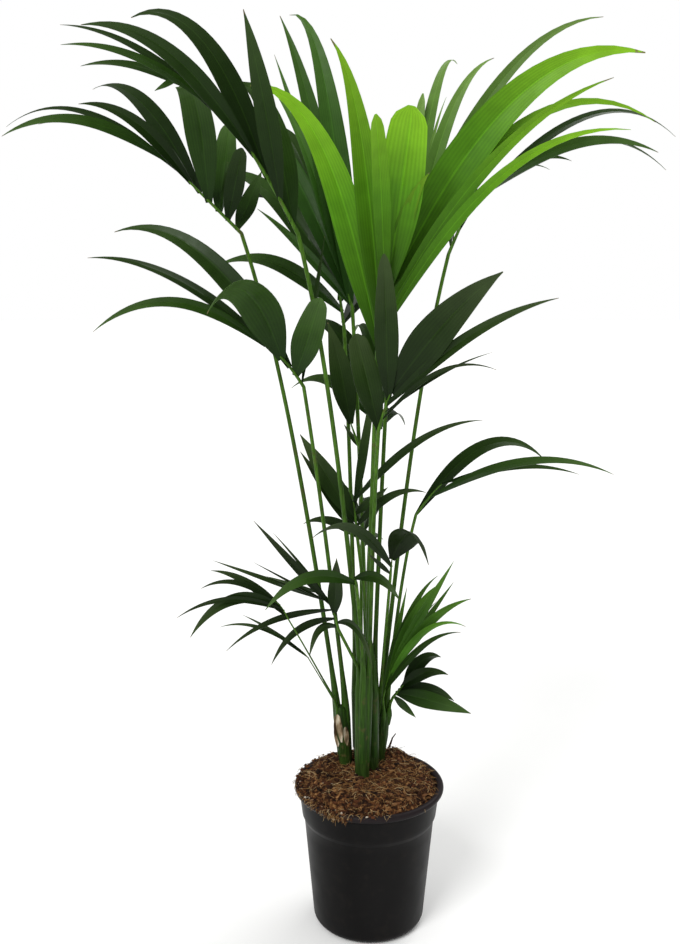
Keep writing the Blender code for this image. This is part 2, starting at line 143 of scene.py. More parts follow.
def onCircle(radius, angle):
    return radius * math.cos(angle), radius * math.sin(angle)


def thicken(piece, thickness):
    pick(piece)
    solid = piece.modifiers.new("thickness", 'SOLIDIFY')
    solid.thickness = thickness
    solid.offset = 0
    bpy.ops.object.modifier_apply(modifier=solid.name)
    smoothed(piece, 50)


def turnUp(name, stations, around):
    # a ring extruded and scaled from station to station, closed at both ends
    lastRadius, lastHeight = stations[0]
    bpy.ops.mesh.primitive_circle_add(vertices=around, radius=lastRadius, fill_type='NGON',
                                      location=(0, 0, lastHeight))
    piece = bpy.context.active_object
    piece.name = name
    bpy.ops.object.transform_apply(location=True, rotation=False, scale=False)
    bpy.ops.object.mode_set(mode='EDIT')
    bpy.ops.mesh.select_mode(type='EDGE')
    bpy.ops.mesh.select_all(action='SELECT')
    for radius, height in stations[1:]:
        bpy.ops.mesh.extrude_edges_move(TRANSFORM_OT_translate={"value": (0, 0, height - lastHeight)})
        bpy.ops.transform.resize(value=(radius / lastRadius, radius / lastRadius, 1))
        lastRadius, lastHeight = radius, height
    bpy.ops.mesh.edge_face_add()
    bpy.ops.mesh.select_all(action='SELECT')
    bpy.ops.mesh.normals_make_consistent(inside=False)
    bpy.ops.object.mode_set(mode='OBJECT')
    return piece


# Paints

def newPaint(name, roughness, shine=0.11):
    paint = bpy.data.materials.new(name)
    paint.use_nodes = True
    tree = paint.node_tree
    shader = tree.nodes["Principled BSDF"]
    shader.inputs["Roughness"].default_value = roughness
    shader.inputs["Specular IOR Level"].default_value = shine
    return paint, tree, shader


def readMark(tree, name):
    node = tree.nodes.new("ShaderNodeAttribute")
    node.attribute_name = name
    return node.outputs["Fac"]


def ramped(tree, source, stops):
    node = tree.nodes.new("ShaderNodeValToRGB")
    ramp = node.color_ramp
    while len(ramp.elements) < len(stops):
        ramp.elements.new(0.5)
    for element, (place, colour) in zip(ramp.elements, stops):
        element.position = place
        element.color = (*colour, 1)
    tree.links.new(source, node.inputs["Fac"])
    return node.outputs["Color"]


def grain(tree, scale, detail=3, stretch=(1, 1, 1)):
    place = tree.nodes.new("ShaderNodeTexCoord")
    spread = tree.nodes.new("ShaderNodeMapping")
    spread.inputs["Scale"].default_value = stretch
    cloud = tree.nodes.new("ShaderNodeTexNoise")
    cloud.inputs["Scale"].default_value = scale
    cloud.inputs["Detail"].default_value = detail
    tree.links.new(place.outputs["Object"], spread.inputs["Vector"])
    tree.links.new(spread.outputs["Vector"], cloud.inputs["Vector"])
    return cloud.outputs["Fac"]


def worked(tree, how, one, two, three=None):
    node = tree.nodes.new("ShaderNodeMath")
    node.operation = how
    for socket, value in zip(node.inputs, (one, two, three)):
        if value is None:
            continue
        if isinstance(value, (int, float)):
            socket.default_value = value
        else:
            tree.links.new(value, socket)
    return node.outputs["Value"]


def blended(tree, share, one, two, how='MIX'):
    node = tree.nodes.new("ShaderNodeMix")
    node.data_type = 'RGBA'
    node.blend_type = how
    for socket, value in ((node.inputs[0], share), (node.inputs[6], one), (node.inputs[7], two)):
        if isinstance(value, (int, float)):
            socket.default_value = value
        elif isinstance(value, tuple):
            socket.default_value = (*value, 1)
        else:
            tree.links.new(value, socket)
    return node.outputs[2]


leafLook = dict(toneSpan=0.75, toneLeast=0.62, pleatShadeLines=34.0, pleatShadeSpan=0.09, pleatShadeMiddle=0.97,
                sheenMottle=38, sheenMottleSpan=0.5, sheenMottleLeast=0.75, ribHalf=0.055, ribGlow=0.35,
                frayScale=90, frayReach=0.10, dryFrom=1.035, dryShare=0.85, dryColour=(0.16, 0.12, 0.06),
                glossScale=70, glossSpan=0.22, glossBelow=0.11)


def leafPaint(name, low, middle, high, roughness=0.42):
    look = leafLook
    paint, tree, shader = newPaint(name, roughness)
    # the colour runs from the leaf's foot to its tip: mostly painted shade at the foot and painted light
    # towards the tip, partly the leaf's own colour
    colour = ramped(tree, readMark(tree, "along"), [(0, low), (0.5, middle), (0.95, high)])
    tone = worked(tree, 'MULTIPLY_ADD', readMark(tree, "tone"), look["toneSpan"], look["toneLeast"])
    # painted light and shade of pleats, in fine lines along the leaf
    side = readMark(tree, "side")
    lines = worked(tree, 'SINE', worked(tree, 'MULTIPLY', side, look["pleatShadeLines"]), None)
    tone = worked(tree, 'MULTIPLY', tone,
                  worked(tree, 'MULTIPLY_ADD', lines, look["pleatShadeSpan"], look["pleatShadeMiddle"]))
    # lighter and darker patches at random, partly painted sheen
    cloud = worked(tree, 'MULTIPLY_ADD', grain(tree, look["sheenMottle"]), look["sheenMottleSpan"], look["sheenMottleLeast"])
    tone = worked(tree, 'MULTIPLY', tone, cloud)
    shade = tree.nodes.new("ShaderNodeCombineColor")
    for i in range(3):
        tree.links.new(tone, shade.inputs[i])
    colour = blended(tree, 1.0, colour, shade.outputs["Color"], 'MULTIPLY')
    # a lighter line down the middle, and a dry tip with a ragged edge
    rib = worked(tree, 'LESS_THAN', worked(tree, 'ABSOLUTE', side, None), look["ribHalf"])
    colour = blended(tree, worked(tree, 'MULTIPLY', rib, look["ribGlow"]), colour, middle, 'ADD')
    fray = worked(tree, 'MULTIPLY', grain(tree, look["frayScale"]), look["frayReach"])
    dry = worked(tree, 'GREATER_THAN', worked(tree, 'ADD', readMark(tree, "along"), fray), look["dryFrom"])
    colour = blended(tree, worked(tree, 'MULTIPLY', dry, look["dryShare"]), colour, look["dryColour"])
    tree.links.new(colour, shader.inputs["Base Color"])
    tree.links.new(worked(tree, 'MULTIPLY_ADD', grain(tree, look["glossScale"]), look["glossSpan"],
                          roughness - look["glossBelow"]), shader.inputs["Roughness"])
    return paint


def limbPaint(name, low, high, scar):
    paint, tree, shader = newPaint(name, 0.42)
    # the colour runs from the foot to the top; on the stalks it is mostly painted shade at the foot and
    # painted light at the top
    colour = ramped(tree, readMark(tree, "along"), [(0, low), (1, high)])
    # fibres along the limb, then brown scars in patches
    fibres = ramped(tree, grain(tree, 30, 4, (12, 12, 0.8)),
                    [(0.36, (0.55, 0.55, 0.5)), (0.62, (1.15, 1.15, 1.05))])
    colour = blended(tree, 1.0, colour, fibres, 'MULTIPLY')
    patch = ramped(tree, grain(tree, 55, 4), [(0.60, (0, 0, 0)), (0.70, (1, 1, 1))])
    colour = blended(tree, patch, colour, blended(tree, 0.55, colour, scar))
    tree.links.new(colour, shader.inputs["Base Color"])
    return paint


# each leaf paint: its colour at the foot, in the middle and at the tip; most of the difference between them
# is painted shade and painted light
paints = {
    "bright": leafPaint("leafBright", (0.020, 0.062, 0.003), (0.068, 0.205, 0.006), (0.200, 0.430, 0.016)),
    "fresh": leafPaint("leafFresh", (0.030, 0.090, 0.006), (0.026, 0.078, 0.006), (0.060, 0.150, 0.012)),
    "pale": leafPaint("leafPale", (0.035, 0.095, 0.010), (0.080, 0.175, 0.025), (0.180, 0.310, 0.070), 0.48),
    "mid": leafPaint("leafMid", (0.010, 0.038, 0.004), (0.026, 0.080, 0.008), (0.065, 0.150, 0.024)),
    "deep": leafPaint("leafDeep", (0.006, 0.019, 0.002), (0.015, 0.040, 0.004), (0.040, 0.080, 0.018), 0.34),
    "dark": leafPaint("leafDark", (0.005, 0.013, 0.002), (0.012, 0.028, 0.004), (0.034, 0.056, 0.017), 0.36),
}
# stalks run from dark at the foot to light at the top: painted shade below and painted light above
stalkPaint = limbPaint("stalkGreen", (0.018, 0.052, 0.005), (0.062, 0.150, 0.014), (0.07, 0.06, 0.02))
stemPaint = limbPaint("stemGreen", (0.026, 0.052, 0.009), (0.018, 0.050, 0.006), (0.13, 0.085, 0.035))
print("paints ready")

# One leaf model, copied for every leaf: a grid folded down along its middle and pleated on both sides.
# folds: how many columns from the middle, and how far that line of points is moved up or down
leafGrid = dict(columns=8, rows=24, folds=((0, -0.13), (1, -0.070), (2, -0.070), (3, -0.010)))
bpy.ops.mesh.primitive_grid_add(x_subdivisions=leafGrid["columns"], y_subdivisions=leafGrid["rows"], size=1,
                                location=(0, 0.5, 0))
leafModel = bpy.context.active_object
leafModel.name = "leafModel"
bpy.ops.object.transform_apply(location=True, rotation=False, scale=False)
for column, rise in leafGrid["folds"]:
    for vert in leafModel.data.vertices:
        vert.select = abs(abs(vert.co.x) - column / leafGrid["columns"]) < 0.01
    for edge in leafModel.data.edges:
        edge.select = False
    for face in leafModel.data.polygons:
        face.select = False
    bpy.ops.object.mode_set(mode='EDIT')
    bpy.ops.mesh.select_mode(type='VERT')
    bpy.ops.transform.translate(value=(0, 0, rise))
    bpy.ops.object.mode_set(mode='OBJECT')


def tubeModel(name, sides, cuts):
    # a unit cylinder cut into rings across its long edges
    bpy.context.tool_settings.mesh_select_mode = (False, True, False)
    bpy.ops.mesh.primitive_cylinder_add(vertices=sides, radius=1, depth=1, location=(0, 0, 0.5))
    model = bpy.context.active_object
    model.name = name
    bpy.ops.object.transform_apply(location=True, rotation=False, scale=False)
    for face in model.data.polygons:
        face.select = False
    for vert in model.data.vertices:
        vert.select = False
    for edge in model.data.edges:
        a, b = (model.data.vertices[i].co for i in edge.vertices)
        edge.select = abs(a.z - b.z) > 0.5
    bpy.ops.object.mode_set(mode='EDIT')
    bpy.ops.mesh.subdivide(number_cuts=cuts)
    bpy.ops.object.mode_set(mode='OBJECT')
    return model


stalkModel = tubeModel("stalkModel", sides=20, cuts=48)
stemModel = tubeModel("stemModel", sides=64, cuts=60)
threadModel = tubeModel("threadModel", sides=4, cuts=5)
# a tube's own sides are worked out from this direction, so none may set off along it
tubeFace = Vector((0.31, -0.95, 0.05))


def laidTube(model, name, path, radiusAt, tone=0.5, level=None):
    # the tube follows the path, and radiusAt(t, angle) shapes its surface
    piece = copyOf(model, name)
    sides = carried(path, tubeFace)
    shares = []
    for vert in piece.data.vertices:
        t = vert.co.z
        angle = math.atan2(vert.co.y, vert.co.x)
        spot, direction = along(path, t)
        across = sides[min(round(t * (len(path) - 1)), len(path) - 1)]
        across = (across - direction * across.dot(direction)).normalized()
        other = direction.cross(across)
        radius = radiusAt(t, angle) * min(math.hypot(vert.co.x, vert.co.y), 1)
        vert.co = spot + (across * math.cos(angle) + other * math.sin(angle)) * radius
        shares.append(t if level is None else level)
    mark(piece, "along", shares)
    mark(piece, "tone", [tone] * len(shares))
    return piece


leafShape = dict(least=0.03, lift=0.055, ripple=0.035, rippleTurn=9, roundFrom=0.90, roundOver=0.10,
                 roundLeast=0.05, bluntAlong=0.9)


def laidLeaf(name, path, width, blunt=1.0, twist=0.0, tone=0.5):
    # the leaf follows the path; blunt is the share of its outline that is left before the cut
    shape = leafShape
    piece = copyOf(leafModel, name)
    rise = math.radians(leafForm["faceRise"])
    sides = carried(path, Vector((0, -math.cos(rise), math.sin(rise))))
    phase = random.uniform(0, 6)
    shares = []
    rows = []
    for vert in piece.data.vertices:
        u, t, h = vert.co
        spot, direction = along(path, t)
        across = sides[min(round(t * growthSteps), growthSteps)]
        across = (across - direction * across.dot(direction)).normalized()
        outward = across.cross(direction)
        turn = twist * t * t
        across, outward = (across * math.cos(turn) + outward * math.sin(turn),
                           outward * math.cos(turn) - across * math.sin(turn))
        size = max(leafWidth(t * blunt), shape["least"]) * width
        if blunt < 1:
            past = max(t - shape["roundFrom"], 0) / shape["roundOver"]
            size *= max(1 - past ** 2, shape["roundLeast"]) ** 0.5
        ripple = shape["ripple"] * math.sin(shape["rippleTurn"] * t + phase) * abs(u) * 2
        vert.co = spot + across * u * size + outward * (shape["lift"] + h + ripple) * size
        shares.append(t)
        rows.append(u * 2)
    mark(piece, "along", [t * (shape["bluntAlong"] if blunt < 1 else 1) for t in shares])
    mark(piece, "side", rows)
    mark(piece, "tone", [tone] * len(shares))
    return piece


# Stems, wrapped in old leaf bases
# Each stem: where its foot is, where its top is, and its radius at the foot and at the top
stems = {
    "left": dict(foot=(-0.040, 0.040), top=(-0.048, 0.034, 0.368), radii=(0.0105, 0.0136)),
    "front": dict(foot=(-0.012, -0.006), top=(-0.010, -0.010, 0.448), radii=(0.0120, 0.0138)),
    "back": dict(foot=(0.006, 0.018), top=(0.003, 0.026, 0.433), radii=(0.0105, 0.0136)),
    "right": dict(foot=(0.018, 0.052), top=(0.026, 0.046, 0.353), radii=(0.0100, 0.0136)),
    "rear": dict(foot=(-0.014, 0.056), top=(-0.014, 0.074, 0.408), radii=(0.0110, 0.0136)),
}
stemForm = dict(sunk=0.004, footStraight=0.014, rings=(0.33, 0.67), steps=8, flare=0.12, flareFall=9,
                body=0.955, wrapTurn=5.5, wrapHeight=0.0011, secondTurn=7, secondHeight=0.0006,
                lines=15, lineHeight=0.00018, narrowFrom=0.45, narrowOver=0.55, narrowBy=0.45)
form = stemForm
for name, spec in stems.items():
    foot = Vector((*spec["foot"], soilForm["crown"] - form["sunk"]))
    top = Vector(spec["top"])
    low = foot + up * form["footStraight"]
    high = top - up * straight
    places = [foot, low] + [low.lerp(high, share) for share in form["rings"]] + [high, top]
    path = []
    for i in range(len(places) - 1):
        for j in range(form["steps"]):
            path.append(places[i].lerp(places[i + 1], j / form["steps"]))
    path.append(top)
    footRadius, topRadius = spec["radii"]
    start = random.uniform(0, 6)

    def stemRadius(t, angle):
        flared = footRadius * (1 + form["flare"] * max(0, 1 - t * form["flareFall"]))
        base = flared + (topRadius - footRadius) * t
        # the edge of each old leaf base runs slantwise up round the stem
        wrap = (angle + start + form["wrapTurn"] * t) / (2 * math.pi)
        step = wrap - math.floor(wrap)
        ridge = form["wrapHeight"] * (1 - step) ** 3
        second = (-angle * 2 + start - form["secondTurn"] * t) / (2 * math.pi)
        ridge += form["secondHeight"] * (1 - (second - math.floor(second))) ** 4
        lines = form["lineHeight"] * math.sin(angle * form["lines"] + 3 * t)
        narrowed = 1 - form["narrowBy"] * max(0, (t - form["narrowFrom"]) / form["narrowOver"]) ** 1.5
        return (base * form["body"] + ridge + lines) * narrowed

    stem = laidTube(stemModel, "stem_" + name + "_skin", path, stemRadius)
    smoothed(stem, 50)
    dressed(stem, stemPaint, "stem", "stem_" + name)
print("stems ready")

# The dead, dried leaf base on the left stem. Each strip: how far it stands from the stem's middle to the
# right and to the back, then its height, length and width
oldBase = dict(stem="left", thickness=0.0007, droop=0.1, blunt=0.7,
               strips=[(-0.0105, -0.0085, 0.296, 0.050, 0.013), (-0.0030, -0.0130, 0.306, 0.052, 0.010),
                       (0.0060, -0.0115, 0.300, 0.034, 0.009), (-0.0125, -0.0010, 0.312, 0.040, 0.008)])
strips = []
stem = stems[oldBase["stem"]]
for dx, dy, height, length, width in oldBase["strips"]:
    share = (height - soilForm["crown"]) / (stem["top"][2] - soilForm["crown"])
    x = stem["foot"][0] + (stem["top"][0] - stem["foot"][0]) * share
    y = stem["foot"][1] + (stem["top"][1] - stem["foot"][1]) * share
    path = grow((x + dx, y + dy, height), random.uniform(-8, 2), random.uniform(-4, 2), length,
                oldBase["droop"])
    strips.append(laidLeaf("strip", path, width, oldBase["blunt"], random.uniform(-0.8, 0.8),
                           random.uniform(0.2, 1.0)))
oldSheath = joined(strips, "old_sheath")
thicken(oldSheath, oldBase["thickness"])
sheathPaint, tree, shader = newPaint("sheathDry", 0.8)
colour = ramped(tree, grain(tree, 90, 5, (1, 1, 0.3)),
                [(0.40, (0.050, 0.028, 0.012)), (0.52, (0.30, 0.22, 0.13)), (0.64, (0.62, 0.55, 0.42))])
tree.links.new(colour, shader.inputs["Base Color"])
dressed(oldSheath, sheathPaint, "stem")

# Stalks and fronds
# Each frond: the stem it comes from and its seat round that stem's top in degrees, then stalk and rib.
# A limb or a leaf sets off at a fan angle, in degrees to the right of upright as the clump is seen from the
# front, and at a lean, in degrees to the back, and its droop bends it down more and more towards its tip.
# stalk: fan, lean, length in cm, droop, radius at the foot in mm. rib: fan, lean, length in cm, droop.
# leaves: fan, length in cm, width in mm, droop, from the foot of the rib to its end. They stand on the rib's
# two sides by turns, and lean by lean + spread on one side and lean - spread on the other. A fifth number is
# a leaf's own lean.
fronds = {
    "upper_left": dict(
        stem="left", seat=140, stalk=(-8, 1.5, 78.5, 0.56, 4.6), rib=(-46, 8, 15.5, 0.0), lean=10, spread=26,
        colour="deep",
        leaves=[(21, 12, 15, 0.0), (14, 11.5, 20, 0.0), (4, 17.5, 32, 0.0), (-3, 22, 47, 1.1),
                (-31, 45, 34, 0.8), (-34, 21.5, 22, 0.9), (-52, 52, 13, 0.8), (-54, 27.5, 18, 1.1)]),
    "top_left": dict(
        stem="front", seat=130, stalk=(-5.5, -3.5, 70, 0.6, 4.8), rib=(-27, -8, 27.5, 0.65),
        lean=-14, spread=16, colour="deep",
        leaves=[(-9, 23.5, 42, 1.1), (-7, 29, 32, 0.4), (-19, 32.5, 35, 1.1), (-32, 33.5, 27, 0.9),
                (-44, 29.5, 12, 0.7), (-51, 25, 13, 0.7), (-61, 17.5, 13, 0.7), (-123, 4, 10, 0.0)]),
    "crown_back": dict(
        stem="back", seat=140, stalk=(-2, 4.5, 59, 0.4, 4.6), rib=(-18, 12, 4, 0.2), lean=16, spread=9,
        colour="mid",
        leaves=[(-40, 25, 17, 0.3), (-5, 51.5, 42, 1.0), (-22, 48, 38, 0.7), (-10, 45.5, 34, 0.6),
                (-16, 45.5, 17, 0.2), (-14, 35, 17, 0.7)]),
    "lime": dict(
        stem="front", seat=50, stalk=(1, -5, 52.5, 0.4, 4.8), rib=(9, -5, 9.5, 0.0), lean=-12, spread=10,
        colour="bright",
        leaves=[(-12, 43.5, 49, 1.0), (28, 50.5, 18, 0.9), (-5, 41.5, 42, 0.9), (28, 49, 20, 0.7),
                (27, 53, 20, 1.2), (-3, 30.5, 25, 0.7), (26, 52.5, 57, 1.0), (6, 26.5, 64, 0.0)]),
    "pale_right": dict(
        stem="back", seat=50, stalk=(2, 6, 62.5, 0.6, 4.6), rib=(22, 14, 11, 0.0), lean=13, spread=9,
        colour="pale",
        leaves=[(9, 34, 24, 0.0), (23, 53.5, 24, 0.9), (8, 47, 22, 1.0), (13, 30.5, 24, 0.9)]),
    "right_high": dict(
        stem="right", seat=130, stalk=(5.5, 1.5, 76, 0.6, 4.4), rib=(23, 12, 16, 0.75), lean=14, spread=16,
        colour="deep",
        leaves=[(-1, 7.5, 7, 0.0), (18, 11.5, 17, 0.0), (44, 60.5, 15, 1.0), (52, 31, 22, 1.0),
                (57, 45, 13, 1.0), (57, 12, 10, 0.9)]),
    "mid_left": dict(
        stem="left", seat=20, stalk=(-6, -5, 54.5, 0.28, 4.4), rib=(-32, -5, 9, 0.6), lean=-8, spread=20,
        colour="deep",
        leaves=[(9, 23, 10, 0.0), (18, 14.5, 45, 0.0), (-32, 39, 37, 1.0), (-17, 25, 58, 1.4),
                (-49, 34.5, 17, 0.7), (-48, 30.3, 17, 1.2)]),
    "mid_right": dict(
        stem="front", seat=340, stalk=(1, -7.5, 41, 0.6, 4.6), rib=(14, -8, 6.5, 0.35), lean=-14, spread=14,
        colour="dark",
        leaves=[(-14, 14.5, 40, 0.0), (36, 23.5, 7, 0.9), (52, 18.5, 5, 0.4), (41, 33, 18, 0.5),
                (-3, 22.6, 35, 0.0, -20), (31, 27, 54, 0.4)]),
    "mid_back": dict(
        stem="back", seat=215, stalk=(-2, 3, 36.5, 0.0, 4.2), rib=(-20, 15, 4.5, 0.0), lean=20, spread=14,
        colour="dark",
        leaves=[(-37, 5, 8, 0.0), (-10, 16.5, 39, 0.5)]),
    "mid_dark": dict(
        stem="back", seat=300, stalk=(-7, -1, 23, 0.0, 4.2), rib=(-5, 0, 5.5, 0.45), lean=-6, spread=12,
        colour="dark",
        leaves=[(-35, 16, 20, 0.0), (36, 14.8, 14, 0.9), (-33, 16.5, 34, 0.0), (46, 7.5, 15, 0.0),
                (9, 17.5, 15, 0.0), (37, 27.1, 13, 0.7)]),
    "right_low": dict(
        stem="right", seat=60, stalk=(5, -4, 34.5, 0.6, 3.8), rib=(36, 5, 6.5, 0.25), lean=4, spread=14,
        colour="deep",
        leaves=[(38, 30, 24, 1.4), (58, 30.5, 15, 0.9), (76, 25.5, 10, 0.6)]),
    "curl_right": dict(
        stem="right", seat=195, stalk=(3, -16, 26.5, 0.0, 3.6), rib=(3, -10, 3, 0.55), lean=-12, spread=14,
        colour="dark",
        leaves=[(-40, 6.5, 8, 0.0, -30), (-30, 20.5, 18, 1.1), (15, 17, 42, 1.6, -35)]),
    "front_low": dict(
        stem="front", seat=265, stalk=(-4, -17.5, 17, 0.24, 4.2), rib=(-7, -20, 1.5, 0.9), lean=-34, spread=6,
        colour="deep",
        leaves=[(-59, 17.5, 20, 1.4), (56, 10.5, 17, 1.5)]),
    "lower_left": dict(
        stem="front", seat=195, stalk=(-24, -13, 7.7, 0.0, 3.8), rib=(-13, 0, 6.5, 0.8), lean=-6, spread=22,
        colour="dark",
        leaves=[(-74, 8.5, 13, 5.5), (52, 12, 13, 2.8, -46), (-100, 15, 13, 2.0), (2, 12.5, 24, 0.0),
                (-99, 21, 11, 0.9), (-34, 23, 13, 0.0), (-75, 20.5, 9, 0.0), (-30, 17.5, 5, 0.1),
                (-77, 10, 6, 0.0)]),
    "thin_left": dict(
        stem="left", seat=225, stalk=(-22, -24, 21.5, 0.06, 1.8), rib=(-22, -10, 4, 0.8), lean=-16, spread=12,
        colour="dark",
        leaves=[(-41, 14.5, 15, 0.7), (-58, 19, 10, 0.9), (-50, 13.5, 10, 1.1), (-63, 16.0, 18, 1.7)]),
    "thread_left": dict(
        stem="left", seat=185, stalk=(-26, -15.5, 10, 0.0, 1.3), rib=(-35, -4, 2, 0.4), lean=14, spread=8,
        colour="dark",
        leaves=[(-57, 13.5, 7, 0.3), (-55, 14.5, 7, 0.9)]),
    "lower_bright": dict(
        stem="right", seat=265, stalk=(-4, -14, 2, 0.2, 2.8), rib=(12, -10, 7, 0.1), lean=-12, spread=12,
        colour="fresh",
        leaves=[(11, 19.5, 12, 0.0), (25, 22.5, 12, 0.7), (14, 21.5, 15, 0.8), (21, 24.5, 12, 0.9),
                (17, 19, 17, 0.8), (25, 24.5, 18, 0.6), (34, 18, 12, 0.0), (23, 24.5, 15, 0.0)]),
    "lower_dark": dict(
        stem="right", seat=350, stalk=(14, 20, 1.5, 0.6, 3.6), rib=(40, 6, 3, 0.0), lean=6, spread=16,
        colour="deep",
        leaves=[(142, 7, 13, 0.0), (98, 13, 30, 0.2), (91, 11.5, 22, 0.9), (45, 9, 22, 1.0),
                (35, 9.5, 24, 1.2)]),
    "back_high": dict(
        stem="rear", seat=200, stalk=(-1.5, 5, 58, 0.5, 4.6), rib=(-8, 32, 16, 0.6), lean=40, spread=14,
        colour="deep",
        leaves=[(34, 26, 30, 1.0), (-48, 30, 30, 1.0), (20, 36, 42, 0.9), (-30, 40, 40, 0.9),
                (4, 42, 42, 1.0), (-14, 42, 38, 1.0), (22, 30, 24, 1.2), (-34, 28, 22, 1.2)]),
    "back_mid": dict(
        stem="rear", seat=320, stalk=(2, 8, 40, 0.5, 4.2), rib=(4, 42, 12, 0.8), lean=46, spread=16,
        colour="deep",
        leaves=[(40, 20, 24, 1.2), (-42, 22, 26, 1.2), (24, 30, 34, 1.2), (-24, 30, 34, 1.2),
                (2, 32, 34, 1.4), (-8, 24, 20, 1.4)]),
    "back_low": dict(
        stem="rear", seat=80, stalk=(0, 12, 20, 0.3, 3.8), rib=(6, 45, 7, 0.8), lean=50, spread=16,
        colour="dark",
        leaves=[(56, 13, 18, 1.0), (-58, 14, 18, 1.0), (30, 18, 24, 1.0), (-30, 18, 24, 1.0),
                (4, 19, 22, 1.2)]),
}
# How light the leaves of a frond are, dealt out at random
leafTones = {"fresh": (-0.35, 0.1, 0.6, 1.3), "deep": (0.0, 0.35, 0.7, 1.1), "bright": (0.3, 0.5, 0.7)}
# widerLeaves and bluntTips go by a leaf's place on the rib: how much wider it is than in the table, and how
# much of its outline is left where its tip is cut. finerLeaves: how many narrow leaves are added
widerLeaves = {"upper_left": {0: 1.9, 1: 1.6, 2: 1.25}}
finerLeaves = {"lower_bright": 9, "lower_left": 4, "upper_left": 3, "crown_back": 2, "pale_right": 3,
               "right_high": 2, "mid_dark": 2, "lime": 2}
bluntTips = {
    "lime": {5: 0.72, 7: 0.66},
    "upper_left": {1: 0.76, 2: 0.78, 3: 0.74},
    "mid_left": {1: 0.80},
    "mid_right": {0: 0.72, 4: 0.86},
    "mid_dark": {4: 0.80},
    "pale_right": {0: 0.80},
}
stalkForm = dict(body=0.0080, bodySpread=1.75, reach=0.86, shortReach=0.25, shortStalk=5, steps=8,
                 out=0.62, outMore=0.5, sheathMost=0.10, sheathShare=0.5, sheathMore=0.01, sheathFrom=0.75,
                 sheathPower=1.4, taper=0.6, taperOver=0.98, channel=0.16, channelAt=1.2, channelWidth=0.45,
                 ridges=7, ridgeHeight=0.015, ribTaper=0.62, ribAlong=0.85)
leafThickness = 0.0006
finer = dict(between=(0.25, 0.75), widestGap=60, length=(0.6, 0.92), lean=(0.1, 0.7), droop=(0.5, 1.0),
             width=(0.35, 0.6), twist=(-0.5, 0.5), tones=(0.0, 0.5, 1.2))
form = stalkForm
